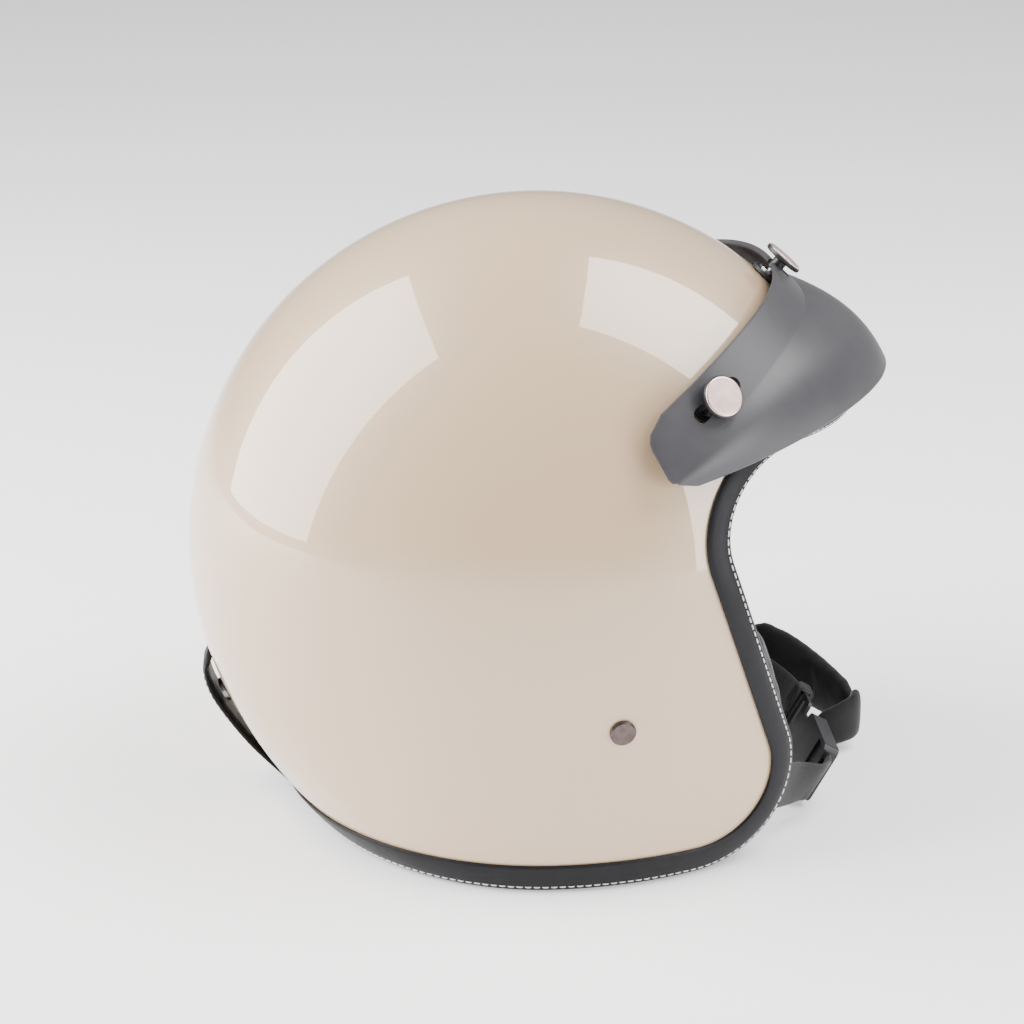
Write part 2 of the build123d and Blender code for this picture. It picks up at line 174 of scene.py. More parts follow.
# ---- mesh helpers ----
def make_mesh(name, points, faces, smooth_below=40):
    """An object from points in mm, smooth except at edges sharper than the given angle."""
    mesh = bpy.data.meshes.new(name)
    mesh.from_pydata([Vector(point) * MM for point in points], [], faces)
    obj = bpy.data.objects.new(name, mesh)
    bpy.context.scene.collection.objects.link(obj)
    soften(obj, smooth_below)
    return obj


def soften(obj, smooth_below=40):
    shape = bmesh.new()
    shape.from_mesh(obj.data)
    bmesh.ops.recalc_face_normals(shape, faces=shape.faces)
    for face in shape.faces:
        face.smooth = True
    for edge in shape.edges:
        if len(edge.link_faces) == 2 and edge.calc_face_angle() > radians(smooth_below):
            edge.smooth = False
    shape.to_mesh(obj.data)
    shape.free()


def settle(obj):
    """Puts the result of the modifiers into the mesh."""
    made = bpy.data.meshes.new_from_object(obj.evaluated_get(bpy.context.evaluated_depsgraph_get()))
    obj.modifiers.clear()
    obj.data = made
    return obj


def band_faces(ring_count, ring_size, round_trip=False):
    """Faces of a tube whose rings of points follow one another."""
    faces = []
    for ring in range(ring_count if round_trip else ring_count - 1):
        here, following = ring * ring_size, (ring + 1) % ring_count * ring_size
        for i in range(ring_size):
            j = (i + 1) % ring_size
            faces.append((here + i, here + j, following + j, following + i))
    if not round_trip:
        faces.append(tuple(reversed(range(ring_size))))
        last = (ring_count - 1) * ring_size
        faces.append(tuple(range(last, last + ring_size)))
    return faces


def tube(name, rings, round_trip=False, smooth_below=40):
    points = [point for ring in rings for point in ring]
    return make_mesh(name, points, band_faces(len(rings), len(rings[0]), round_trip), smooth_below)


def lathe(name, centre, axis, profile, steps=72, smooth_below=35):
    """A turned piece: profile is (radius, height) pairs from one end of the axis to the other."""
    turn = Vector((0, 0, 1)).rotation_difference(axis)
    rings = []
    for radius, height in profile:
        ring = [
            centre + turn @ Vector((radius * cos(angle), radius * sin(angle), height))
            for angle in (2 * pi * k / steps for k in range(steps))
        ]
        rings.append(ring)
    return tube(name, rings, smooth_below=smooth_below)


def place(obj, body, material, slot, *nodes):
    """Rides and dresses a finished piece, and hides the CAD parts it replaces."""
    obj.data.materials.clear()
    obj.data.materials.append(material)
    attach(obj, body)
    if nodes:
        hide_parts(*nodes)
    return obj


# ---- materials ----
class Shading:
    """A material under construction: a Principled shader and the nodes that feed it."""

    def __init__(self, name, colour, roughness, **inputs):
        self.material = bpy.data.materials.new(name)
        self.material.use_nodes = True
        self.nodes = self.material.node_tree.nodes
        self.links = self.material.node_tree.links
        self.shader = self.nodes["Principled BSDF"]
        self.colour = (*colour, 1.0)
        self.shader.inputs["Base Color"].default_value = self.colour
        self.shader.inputs["Roughness"].default_value = roughness
        self.roughness = roughness
        for socket, value in inputs.items():
            self.shader.inputs[socket.replace("_", " ")].default_value = value
        self.place_in = self.nodes.new("ShaderNodeTexCoord").outputs["Object"]
        self.last_bump = None

    def stretched(self, scale):
        mapping = self.nodes.new("ShaderNodeMapping")
        mapping.inputs["Scale"].default_value = scale
        self.links.new(self.place_in, mapping.inputs["Vector"])
        return mapping.outputs["Vector"]

    def noise(self, scale, detail=3.0, roughness=0.5, where=None):
        node = self.nodes.new("ShaderNodeTexNoise")
        node.inputs["Scale"].default_value = scale
        node.inputs["Detail"].default_value = detail
        node.inputs["Roughness"].default_value = roughness
        self.links.new(where or self.place_in, node.inputs["Vector"])
        return node.outputs["Fac"]

    def cells(self, scale, feature="DISTANCE_TO_EDGE"):
        node = self.nodes.new("ShaderNodeTexVoronoi")
        node.feature = feature
        node.inputs["Scale"].default_value = scale
        self.links.new(self.place_in, node.inputs["Vector"])
        return node.outputs["Distance"]

    def waves(self, scale, direction, distortion):
        node = self.nodes.new("ShaderNodeTexWave")
        node.bands_direction = direction
        node.inputs["Scale"].default_value = scale
        node.inputs["Distortion"].default_value = distortion
        self.links.new(self.place_in, node.inputs["Vector"])
        return node.outputs["Fac"]

    def spread(self, source, low, high):
        """Maps 0..1 onto low..high."""
        node = self.nodes.new("ShaderNodeMapRange")
        node.inputs["To Min"].default_value = low
        node.inputs["To Max"].default_value = high
        self.links.new(source, node.inputs["Value"])
        return node.outputs["Result"]

    def vary_colour(self, source, other, low=0.35, high=0.65):
        ramp = self.nodes.new("ShaderNodeValToRGB")
        ramp.color_ramp.elements[0].position = low
        ramp.color_ramp.elements[0].color = self.colour
        ramp.color_ramp.elements[1].position = high
        ramp.color_ramp.elements[1].color = (*other, 1.0)
        self.links.new(source, ramp.inputs["Fac"])
        self.links.new(ramp.outputs["Color"], self.shader.inputs["Base Color"])

    def vary_roughness(self, source, amount):
        result = self.spread(source, self.roughness - amount, self.roughness + amount)
        self.links.new(result, self.shader.inputs["Roughness"])

    def bump(self, source, height_mm, strength=1.0):
        """Adds relief of about this height; several are stacked."""
        node = self.nodes.new("ShaderNodeBump")
        node.inputs["Strength"].default_value = strength
        node.inputs["Distance"].default_value = height_mm * MM
        self.links.new(source, node.inputs["Height"])
        if self.last_bump:
            self.links.new(self.last_bump, node.inputs["Normal"])
        self.last_bump = node.outputs["Normal"]
        self.links.new(self.last_bump, self.shader.inputs["Normal"])


def paint():
    coat = {"Coat_Weight": 1.0, "Coat_Roughness": 0.02, "Coat_IOR": 1.65}
    made = Shading("cream_paint", (0.56, 0.395, 0.245), 0.35, **coat)
    made.vary_colour(made.noise(9.0, 2.0), (0.575, 0.41, 0.26))
    made.vary_roughness(made.noise(60.0), 0.04)
    made.bump(made.noise(220.0, 1.0), 0.012, 0.5)
    return made.material


def leather(name, colour, roughness, grain_mm, other, gloss=0.3):
    made = Shading(name, colour, roughness, Specular_IOR_Level=gloss)
    made.vary_colour(made.noise(70.0, 4.0), other)
    made.vary_roughness(made.noise(240.0), 0.06)
    made.bump(made.cells(1 / (grain_mm * MM)), 0.09 * grain_mm, 0.7)
    made.bump(made.noise(2.6 / (grain_mm * MM), 4.0), 0.05 * grain_mm, 0.5)
    return made.material


def moulded(name, colour, roughness, grain_mm, relief_mm, other):
    made = Shading(name, colour, roughness)
    made.vary_colour(made.noise(45.0, 3.0), other)
    made.vary_roughness(made.noise(180.0), 0.04)
    made.bump(made.noise(1 / (grain_mm * MM), 2.0), relief_mm, 0.6)
    return made.material


def metal(name, colour, roughness, other):
    made = Shading(name, colour, roughness, Metallic=1.0)
    made.vary_colour(made.noise(350.0, 3.0), other)
    made.vary_roughness(made.noise(800.0), 0.07)
    made.bump(made.noise(1.0, 2.0, where=made.stretched((500.0, 500.0, 4000.0))), 0.008, 0.4)
    return made.material


def knit(name, colour, other):
    made = Shading(name, colour, 0.95, Sheen_Weight=0.35, Sheen_Roughness=0.5)
    made.vary_colour(made.noise(160.0, 4.0), other)
    made.bump(made.waves(330.0, "Y", distortion=2.0), 0.22, 0.7)
    made.bump(made.waves(330.0, "Z", distortion=2.0), 0.18, 0.6)
    made.bump(made.noise(2500.0, 3.0), 0.08, 0.6)
    return made.material


def suede(name, colour, other):
    made = Shading(name, colour, 0.98, Sheen_Weight=0.25, Sheen_Roughness=0.4)
    made.vary_colour(made.noise(60.0, 5.0), other)
    made.bump(made.noise(1600.0, 4.0, 0.7), 0.16, 0.8)
    return made.material


def webbing(name, colour, other):
    made = Shading(name, colour, 0.82, Sheen_Weight=0.2)
    made.vary_colour(made.noise(900.0, 2.0), other)
    made.bump(made.noise(2400.0, 3.0), 0.05, 0.7)
    return made.material


def bead_foam(name, colour, other):
    made = Shading(name, colour, 0.8)
    made.vary_colour(made.cells(300.0, "F1"), other, 0.2, 0.8)
    made.bump(made.cells(300.0), 0.35, 0.8)
    return made.material


def thread(name, colour, other):
    made = Shading(name, colour, 0.75)
    made.vary_colour(made.noise(1500.0), other)
    made.bump(made.noise(5000.0), 0.05, 0.8)
    return made.material


finishes = {
    "shell_paint": paint(),
    "impact_foam": bead_foam("bead_foam", (0.014, 0.014, 0.016), (0.03, 0.03, 0.033)),
    "lining": knit("brushed_knit", (0.010, 0.010, 0.012), (0.018, 0.018, 0.021)),
    "lining_leather": leather("lining_leather", (0.014, 0.014, 0.016), 0.52, 1.1, (0.022, 0.022, 0.024)),
    "trim_leather": leather("trim_leather", (0.0045, 0.0045, 0.006), 0.44, 0.7, (0.007, 0.007, 0.009), 0.2),
    "rivet_metal": metal("dark_nickel", (0.085, 0.066, 0.062), 0.32, (0.12, 0.095, 0.09)),
    # plated steel: a grey nickel tone, darkened further overall as painted shade for the plated parts that lie in
    # shadow
    "plated_steel": metal("grey_nickel_with_painted_shade", (0.20, 0.195, 0.19), 0.28, (0.27, 0.265, 0.26)),
    "strap_webbing": webbing("woven_webbing", (0.007, 0.007, 0.008), (0.014, 0.014, 0.016)),
    "strap_rubber": moulded("keeper_rubber", (0.02, 0.02, 0.022), 0.42, 0.5, 0.02, (0.03, 0.03, 0.032)),
    "suede": suede("black_suede", (0.006, 0.006, 0.007), (0.011, 0.011, 0.012)),
    "buckle_plastic": moulded("buckle_nylon", (0.008, 0.008, 0.010), 0.42, 0.4, 0.02, (0.013, 0.013, 0.015)),
    "peak_plastic": moulded("peak_plastic", (0.036, 0.035, 0.040), 0.42, 0.35, 0.022, (0.042, 0.041, 0.046)),
    "black_rubber": moulded("black_rubber", (0.010, 0.010, 0.010), 0.5, 0.5, 0.02, (0.016, 0.016, 0.016)),
    "cap_plastic": moulded("cap_plastic", (0.010, 0.010, 0.011), 0.35, 0.5, 0.015, (0.016, 0.016, 0.017)),
    "cap_metal": metal("rose_nickel", (0.66, 0.47, 0.44), 0.34, (0.74, 0.56, 0.53)),
    "tab_leather": leather("tab_leather", (0.004, 0.004, 0.005), 0.5, 0.8, (0.007, 0.007, 0.008), 0.15),
}
white_thread = thread("white_thread", (0.80, 0.79, 0.77), (0.70, 0.69, 0.67))
black_thread = thread("black_thread", (0.02, 0.02, 0.022), (0.04, 0.04, 0.042))

for row in frame["record"]["subparts"]:
    node = frame["nodes"][row["node"]]
    node.data.materials.clear()
    node.data.materials.append(finishes[row["material_slot"]])


# ---- camera, lights and floor ----
CAMERA_AZIMUTH = radians(-4)
CAMERA_ELEVATION = radians(20)
CAMERA_DISTANCE = 1.2
CAMERA_AIM = Vector((-0.0098, 0, 0.12285))

camera = bpy.data.objects.new("camera", bpy.data.cameras.new("camera"))
bpy.context.scene.collection.objects.link(camera)
camera_back = Vector((
    sin(CAMERA_AZIMUTH) * cos(CAMERA_ELEVATION),
    -cos(CAMERA_AZIMUTH) * cos(CAMERA_ELEVATION),
    sin(CAMERA_ELEVATION),
))
camera.location = CAMERA_AIM + camera_back * CAMERA_DISTANCE
camera.rotation_mode = "QUATERNION"
camera.rotation_quaternion = (-camera_back).to_track_quat("-Z", "Y")
camera.data.lens = 99.1
camera.data.sensor_width = 36
bpy.context.scene.camera = camera


def softbox(name, toward, distance, width, height, power):
    """A rectangular light that looks at the helmet from the given direction."""
    light = bpy.data.lights.new(name, "AREA")
    light.shape = "RECTANGLE"
    light.size = width
    light.size_y = height
    light.energy = power
    obj = bpy.data.objects.new(name, light)
    direction = Vector(toward).normalized()
    obj.location = CAMERA_AIM + direction * distance
    obj.rotation_mode = "QUATERNION"
    obj.rotation_quaternion = (-direction).to_track_quat("-Z", "Y")
    bpy.context.scene.collection.objects.link(obj)


softbox("left_softbox", (-0.855, 0.0, 0.50), 1.3, 1.2, 1.65, 66)
softbox("right_softbox", (0.57, -0.04, 0.82), 1.3, 0.85, 1.0, 28)
softbox("front_softbox", (0.80, -0.60, 0.12), 1.2, 0.5, 0.6, 9)

world = bpy.data.worlds.new("studio")
bpy.context.scene.world = world
world.use_nodes = True
world.node_tree.nodes["Background"].inputs["Color"].default_value = (1.0, 1.0, 1.0, 1.0)
world.node_tree.nodes["Background"].inputs["Strength"].default_value = 0.5

floor_mesh = bpy.data.meshes.new("floor")
FLOOR_HALF = 12.0
floor_corners = [(x * FLOOR_HALF, y * FLOOR_HALF, 0) for x, y in ((-1, -1), (1, -1), (1, 1), (-1, 1))]
floor_mesh.from_pydata(floor_corners, [], [(0, 1, 2, 3)])
floor = bpy.data.objects.new("floor", floor_mesh)
bpy.context.scene.collection.objects.link(floor)
floor_finish = Shading("floor_white", (0.9, 0.9, 0.9), 0.9)
floor_finish.shader.inputs["Emission Color"].default_value = (1, 1, 1, 1)
floor_finish.shader.inputs["Emission Strength"].default_value = 0.5
floor_mesh.materials.append(floor_finish.material)

# ---- painted shell ----
SHELL_EDGE = 7.0  # where the visible shell ends, inside the trim's channel
SHELL_THICKNESS = 4.0
SHELL_STEPS = 72  # quads along each side of the six patches of the ball


def ball_patches(steps):
    """Points and quads of a unit ball made of six patches, so that it has no poles."""
    shape = bmesh.new()
    for axis in range(3):
        for end in SIDES:
            grid = []
            for i in range(steps + 1):
                for j in range(steps + 1):
                    place_on_cube = [0.0, 0.0, 0.0]
                    place_on_cube[axis] = end
                    place_on_cube[(axis + 1) % 3] = sin(pi / 4 * (2 * i / steps - 1)) / sin(pi / 4)
                    place_on_cube[(axis + 2) % 3] = sin(pi / 4 * (2 * j / steps - 1)) / sin(pi / 4)
                    grid.append(shape.verts.new(Vector(place_on_cube).normalized()))
            for i in range(steps):
                for j in range(steps):
                    corner = i * (steps + 1) + j
                    quad = (corner, corner + steps + 1, corner + steps + 2, corner + 1)
                    shape.faces.new([grid[k] for k in quad])
    bmesh.ops.remove_doubles(shape, verts=shape.verts, dist=1e-5)
    return shape


def on_envelope(direction):
    z = CENTRE_Z + HALF_HEIGHT * direction.z
    length, width = spread_factors(z, direction.x > 0)
    return Vector((length * direction.x, width * direction.y, z))


def pull_to_edge(point):
    """Moves a point along the envelope until it lies on the shell's edge."""
    x, y, z = point
    step = 0.01
    for _ in range(6):
        miss = SHELL_EDGE - reach_of(x, z)
        slope_x = (reach_of(x + step, z) - reach_of(x - step, z)) / (2 * step)
        slope_z = (reach_of(x, z + step) - reach_of(x, z - step)) / (2 * step)
        x, z = x + miss * slope_x, z + miss * slope_z
        front, rear, side = half_axes(z, 0)
        scale = 1 / sqrt((x / (front if x > 0 else rear)) ** 2 + (y / side) ** 2)
        x, y = x * scale, y * scale
    return Vector((x, y, z))


def painted_shell():
    shape = ball_patches(SHELL_STEPS)
    for vert in shape.verts:
        vert.co = on_envelope(vert.co)
    beyond = [vert for vert in shape.verts if reach_of(vert.co.x, vert.co.z) > SHELL_EDGE]
    bmesh.ops.delete(shape, geom=beyond, context="VERTS")
    for edge in shape.edges:
        if len(edge.link_faces) == 1:
            for vert in edge.verts:
                vert.tag = True
    for vert in shape.verts:
        if vert.tag:
            vert.co = pull_to_edge(vert.co)
    for vert in shape.verts:
        vert.co *= MM
    mesh = bpy.data.meshes.new("painted_shell")
    shape.to_mesh(mesh)
    shape.free()
    obj = bpy.data.objects.new("painted_shell", mesh)
    bpy.context.scene.collection.objects.link(obj)
    soften(obj, 60)
    wall = obj.modifiers.new("wall", "SOLIDIFY")
    wall.thickness = SHELL_THICKNESS * MM
    wall.offset = -1
    settle(obj)
    return place(obj, "helmet", finishes["shell_paint"], "shell_paint", "outer_shell")


painted_shell()

# ---- leather edge trim and its stitches ----
# Section of the leather channel as (reach, depth): out over the edge, round the nose and back inside.
TRIM_SECTION = (
    (0.0, 0.1), (-0.1, -0.7), (0.25, -1.25), (1.0, -1.55), (2.6, -1.75), (4.6, -1.85), (6.4, -1.8),
    (7.6, -1.6), (8.3, -1.25), (8.8, -1.1), (9.3, -1.0), (9.75, -0.5), (9.98, 0.4), (10.0, 1.8),
    (9.95, 3.4), (9.7, 4.4), (9.2, 5.1), (8.4, 5.4), (6.5, 5.75), (4.0, 5.8), (1.5, 5.6), (0.2, 5.1),
    (0.0, 4.3), (2.0, 4.1), (7.6, 4.1), (7.9, 2.0), (7.6, 0.1), (3.0, 0.1),
)
RIM_WIDENING = 2.6
STITCH_REACH = 8.8
STITCH_LENGTH = 2.7
STITCH_GAP = 0.8
STITCH_RADIUS = 0.33


def on_rim(stretch, share):
    """0 round the face, 1 along the rim, changing smoothly round the chin corner."""
    return {3: share * share * (3 - 2 * share), 4: 1.0}.get(stretch, 0.0)


def edge_trim():
    rings = []
    for stretch, share, side in edge_stations():
        ring = []
        for reach, depth in TRIM_SECTION:
            wider = RIM_WIDENING * on_rim(stretch, share) * max(0.0, 1 - reach / 6)
            x, y, z = edge_point(stretch, share, reach - wider, depth)
            ring.append((x, side * y, z))
        rings.append(ring)
    obj = tube("leather_trim", rings, round_trip=True, smooth_below=60)
    return place(obj, "helmet", finishes["trim_leather"], "trim_leather", "edge_trim")


def walk(line, length, steps):
    """Evenly spaced places along a line; only a closed one is walked past its last point."""
    spans = [(line[(i + 1) % len(line)] - line[i]).length for i in range(len(line))]
    found = []
    position, travelled = 0, 0.0
    for step in range(steps + 1):
        wanted = length * step / steps
        while travelled + spans[position] < wanted and position < len(line) - 1:
            travelled += spans[position]
            position += 1
        share = (wanted - travelled) / spans[position]
        found.append(line[position].lerp(line[(position + 1) % len(line)], min(share, 1.0)))
    return found


# A thread's section along its length as (share of the length, share of the radius, lift in diameters).
THREAD_SECTIONS = ((0, 0.35, -0.3), (0.12, 0.8, 0.0), (0.5, 1.0, 0.12), (0.88, 0.8, 0.0), (1, 0.35, -0.3))
THREAD_SIDES = 6


def stitches(name, line, lift, length, gap, radius, closed=True):
    """A row of threads along a line; lift(point) is the way out of the leather."""
    spans = len(line) if closed else len(line) - 1
    total = sum((line[(i + 1) % len(line)] - line[i]).length for i in range(spans))
    count = int(total / (length + gap))
    pitch = total / count
    marks = walk(line, total, count * 4)
    points, faces = [], []
    for stitch in range(count):
        start = marks[stitch * 4]
        ahead = (marks[stitch * 4 + 3] - start).normalized()
        end = start + ahead * (pitch - gap)
        out = lift(start)
        across = ahead.cross(out).normalized()
        base = len(points)
        for share, size, height in THREAD_SECTIONS:
            middle = start.lerp(end, share) + out * radius * height * 2
            for k in range(THREAD_SIDES):
                angle = 2 * pi * k / THREAD_SIDES
                points.append(middle + (across * cos(angle) + out * sin(angle)) * radius * size)
        faces += [tuple(base + i for i in face) for face in band_faces(len(THREAD_SECTIONS), THREAD_SIDES)]
    return make_mesh(name, points, faces, 80)


def away_from_axis(point):
    """Outward from the helmet's middle, good enough for a thread on its edge."""
    steepness = (point.x / HALF_LENGTH**2, point.y / HALF_WIDTH**2, (point.z - CENTRE_Z) / HALF_HEIGHT**2)
    return Vector(steepness).normalized()


def outer_seam():
    """The outer row's line, which climbs a little where it goes along the rim."""
    line = []
    for stretch, share, side in edge_stations():
        climb = on_rim(stretch, share)
        x, y, z = edge_point(stretch, share, STITCH_REACH - 1.3 * climb, -1.15 - 0.55 * climb)
        line.append(Vector((x, side * y, z)))
    return line


def trim_stitching():
    outer = stitches("trim_stitches_outer", outer_seam(), away_from_axis,
                     STITCH_LENGTH, STITCH_GAP, STITCH_RADIUS)
    place(outer, "helmet", white_thread, "trim_leather")
    inner_seam = edge_line(STITCH_REACH - 0.6, 5.5)
    inner = stitches("trim_stitches_inner", inner_seam, lambda point: -away_from_axis(point),
                     STITCH_LENGTH, STITCH_GAP, STITCH_RADIUS)
    place(inner, "helmet", white_thread, "trim_leather")


edge_trim()
trim_stitching()

# ---- visor peak ----
PEAK_AXIS_X = 25.0
PEAK_END = 86.0  # degrees from straight ahead to the end of the band, at the rim
PEAK_SLANT = 7.0  # the band's lower corner stops this much earlier
PEAK_CORNER = 9.0  # mm, radius of the band's corners
PEAK_THICKNESS = 2.5
PEAK_STEPS = 132
PEAK_SMOOTH_BELOW = 28  # degrees
BAND_STEPS = 7
CROWN_STEPS = 16
CREASE_HALF = 0.8  # half the width of the rounded crease
CROWN_RISE = 0.12  # of the chord from crease to free edge


def peak_section(angle):
    """Rim, crease and free edge, as distance from the upright axis and height."""
    swing = min(abs(angle), 79.0)
    rim = (74 + 0.0044 * angle**2, 231 - 6.2e-5 * abs(angle) ** 3)
    crease = (86 + 0.0045 * swing**2, 219 - 9e-5 * swing**3)
    brim = exp(-((angle / 30) ** 2))
    edge = (108 + 14 * brim + 6 * (swing / 80) ** 4, 186 + 4 * brim - 0.0026 * swing**2)
    return [Vector(point) for point in (rim, crease, edge)]


def peak_outline(angle):
    """The points of the outer line, from rim over the crease to the free edge."""
    rim, crease, edge = peak_section(angle)
    chord = edge - crease
    rise = Vector((-chord.y, chord.x)).normalized()
    crisp = CREASE_HALF / (crease - rim).length
    band_shares = [step / BAND_STEPS for step in range(BAND_STEPS)] + [1 - crisp]
    line = [rim.lerp(crease, share) for share in band_shares]
    crown_shares = [0.0, CREASE_HALF / chord.length]
    crown_shares += [step / CROWN_STEPS for step in range(1, CROWN_STEPS + 1)]
    for share in crown_shares:
        line.append(crease + chord * share + rise * (4 * CROWN_RISE * chord.length * share * (1 - share)))
    return line


def outward(line, i):
    """The outward direction at a point of the outer line."""
    before, after = line[max(i - 1, 0)], line[min(i + 1, len(line) - 1)]
    along = (after - before).normalized()
    normal = Vector((-along.y, along.x))
    # At the band's ends the crown is so short that the line turns back at the crease.
    return -normal if max(normal.x, normal.y) < 0 else normal


def peak_ring(turn):
    """Closed section of the peak; turn runs from -1 at the right end to 1 at the left."""
    probe = peak_outline(PEAK_END * turn)
    total = sum((b - a).length for a, b in zip(probe, probe[1:]))
    travelled = 0.0
    outer, inner = [], []
    for i in range(len(probe)):
        if i:
            travelled += (probe[i] - probe[i - 1]).length
        share = travelled / total
        corner = 0.0
        for gap in (travelled, total - travelled):
            if gap < PEAK_CORNER:
                corner = max(corner, PEAK_CORNER - sqrt(PEAK_CORNER**2 - (PEAK_CORNER - gap) ** 2))
        limit = PEAK_END - PEAK_SLANT * share - degrees(corner / probe[i].x)
        angle = limit * turn
        line = peak_outline(angle)
        normal = outward(line, i)
        outer.append((angle, line[i]))
        inner.append((angle, line[i] - normal * PEAK_THICKNESS))
        if i == 0:
            first = (line[i], normal, (line[1] - line[0]).normalized())
        last = (line[i], normal, (line[i] - line[i - 1]).normalized())
    edge_bits = []
    for base, normal, along in (last, (first[0], first[1], -first[2])):
        bits = []
        for step in (1, 2, 3):
            angle = pi * step / 4
            middle = base - normal * PEAK_THICKNESS / 2
            bits.append(middle + (normal * cos(angle) + along * sin(angle) * 0.7) * PEAK_THICKNESS / 2)
        edge_bits.append(bits)
    ring = outer + [(outer[-1][0], p) for p in edge_bits[0]] + inner[::-1]
    ring += [(outer[0][0], p) for p in reversed(edge_bits[1])]
    points = []
    for angle, flat in ring:
        heading = radians(angle)
        points.append((PEAK_AXIS_X + flat.x * cos(heading), flat.x * sin(heading), flat.y))
    return points


def cutter(centre, axis, along, length, width, half_depth):
    """A slot-shaped block to cut with, centred on a point."""
    axis, along = axis.normalized(), along.normalized()
    across = axis.cross(along)
    outline = []
    steps = 14
    for end in (1, -1):
        for step in range(steps + 1):
            angle = -pi / 2 + pi * step / steps
            u = end * ((length - width) / 2 + width / 2 * cos(angle))
            v = end * width / 2 * sin(angle)
            outline.append((u, v))
    rings = []
    for height in (-half_depth, half_depth):
        rings.append([centre + axis * height + along * u + across * v for u, v in outline])
    return tube("slot_cutter", rings)


def stud_plane(side_name):
    """Centre of a cap's disc and the way the cap looks."""
    low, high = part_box(f"cap_disc_{side_name}")
    joint = next(j for j in frame["joints"] if j["name"] == f"cap_{side_name}_pull")
    return (low + high) / 2 / MM, Vector(joint["axis"]).normalized()


SLOT_LENGTH = {"left": 26.0, "right": 26.0, "centre": 15.4}
SLOT_WIDTH = 6.6
SLOT_WAY = {"left": Vector((18.5, 0, 15.5)), "right": Vector((18.5, 0, 15.5))}
SLOT_BELOW_DISC = 6.0  # from the middle of a cap's disc down to the middle of the cut
SLOT_CUT_HALF = 9.0


def visor_peak():
    rings = []
    for step in range(PEAK_STEPS + 1):
        even = 2 * step / PEAK_STEPS - 1
        crowded_at_ends = sin(pi / 2 * even * 0.999)
        rings.append(peak_ring(0.5 * crowded_at_ends + 0.5 * even))
    obj = tube("visor_peak_shell", rings, smooth_below=PEAK_SMOOTH_BELOW)
    for name in SLOT_LENGTH:
        centre, axis = stud_plane(name)
        way = SLOT_WAY.get(name, axis.cross(Vector((0, 1, 0))))
        way = way - axis * way.dot(axis)
        middle = centre - axis * SLOT_BELOW_DISC
        block = cutter(middle, axis, way, SLOT_LENGTH[name], SLOT_WIDTH, SLOT_CUT_HALF)
        cut = obj.modifiers.new("slot", "BOOLEAN")
        cut.object = block
        cut.operation = "DIFFERENCE"
        cut.solver = "EXACT"
        settle(obj)
        bpy.data.objects.remove(block)
    soften(obj, PEAK_SMOOTH_BELOW)
    return place(obj, "visor", finishes["peak_plastic"], "peak_plastic", "visor_peak")


visor_peak()


# ---- snap caps ----
# Sections of a cap as (radius, height), with heights from the middle of its disc.
CAP_NECK = ((0.01, -7.5), (2.6, -7.5), (3.0, -7.1), (3.0, -2.6), (3.4, -2.15), (7.6, -2.05), (8.3, -1.75))
CAP_RIM = ((8.5, -1.3), (8.5, -0.35), (8.3, -0.1), (8.05, -0.1), (8.0, -0.35), (7.0, -0.4), (0.01, -0.4))
CAP_FACE = (
    (0.01, -0.42), (7.6, -0.42), (7.95, -0.3), (8.0, 0.15), (7.75, 0.42), (7.3, 0.52), (6.9, 0.46),
    (6.6, 0.46), (3.5, 0.5), (0.01, 0.52),
)


def snap_caps():
    for name in SLOT_LENGTH:
        centre, axis = stud_plane(name)
        body = f"cap_{name}"
        cap = lathe(f"cap_body_{name}", centre, axis, CAP_NECK + CAP_RIM)
        place(cap, body, finishes["cap_plastic"], "cap_plastic", f"snap_cap_{name}")
        disc = lathe(f"cap_face_{name}", centre, axis, CAP_FACE, smooth_below=50)
        place(disc, body, finishes["cap_metal"], "cap_metal", f"cap_disc_{name}")


snap_caps()


# ---- webbing ----
WEBBING_WIDTH = 22.0
WEBBING_THICKNESS = 1.8
WEBBING_DEPTH = 8.4
WEBBING_CORDS = 22  # raised cords across the width
CORD_LIFT = 0.13
CORD_PITCH = 0.7  # along the strap
HIDDEN_RUN = ((36, 63.5), (56, 48), (76, 34.5), (92, 26))  # X and Z on the way from rivet to rim
BUCKLE_FACE = Vector((0.876, 0, -0.482)).normalized()


def webbing_route(side):
    """Points of the strap's middle line and the way its outside looks at each."""
    points = [Vector((x, side * surface_y(x, z, WEBBING_DEPTH), z)) for x, z in HIDDEN_RUN]
    facings = [surface_normal(x, z, side) for x, z in HIDDEN_RUN]
    bend_y, end_y = (51, -43.2) if side < 0 else (38, 20.4)
    points += [
        Vector((104, side * 60.5, 20)),
        Vector((115.5, side * bend_y, 16.4)),
        Vector((118, end_y, 15.5)),
    ]
    facings += [(facings[-1] + BUCKLE_FACE).normalized(), BUCKLE_FACE, BUCKLE_FACE]
    return points, facings


def through(points, share):
    """A smooth line through the points, by share of its steps."""
    at = share * (len(points) - 1)
    i = min(int(at), len(points) - 2)
    t = at - i
    before = points[i - 1] if i else points[0] * 2 - points[1]
    after = points[i + 2] if i + 2 < len(points) else points[-1] * 2 - points[-2]
    a, b = points[i], points[i + 1]
    slope_a, slope_b = (b - before) / 2, (after - a) / 2
    return (
        a * (2 * t**3 - 3 * t**2 + 1) + slope_a * (t**3 - 2 * t**2 + t)
        + b * (3 * t**2 - 2 * t**3) + slope_b * (t**3 - t**2)
    )


def heading(points, share, reach):
    """The direction of the smooth line at a share of it, taken over a reach to both sides."""
    return (through(points, min(share + reach, 1)) - through(points, max(share - reach, 0))).normalized()


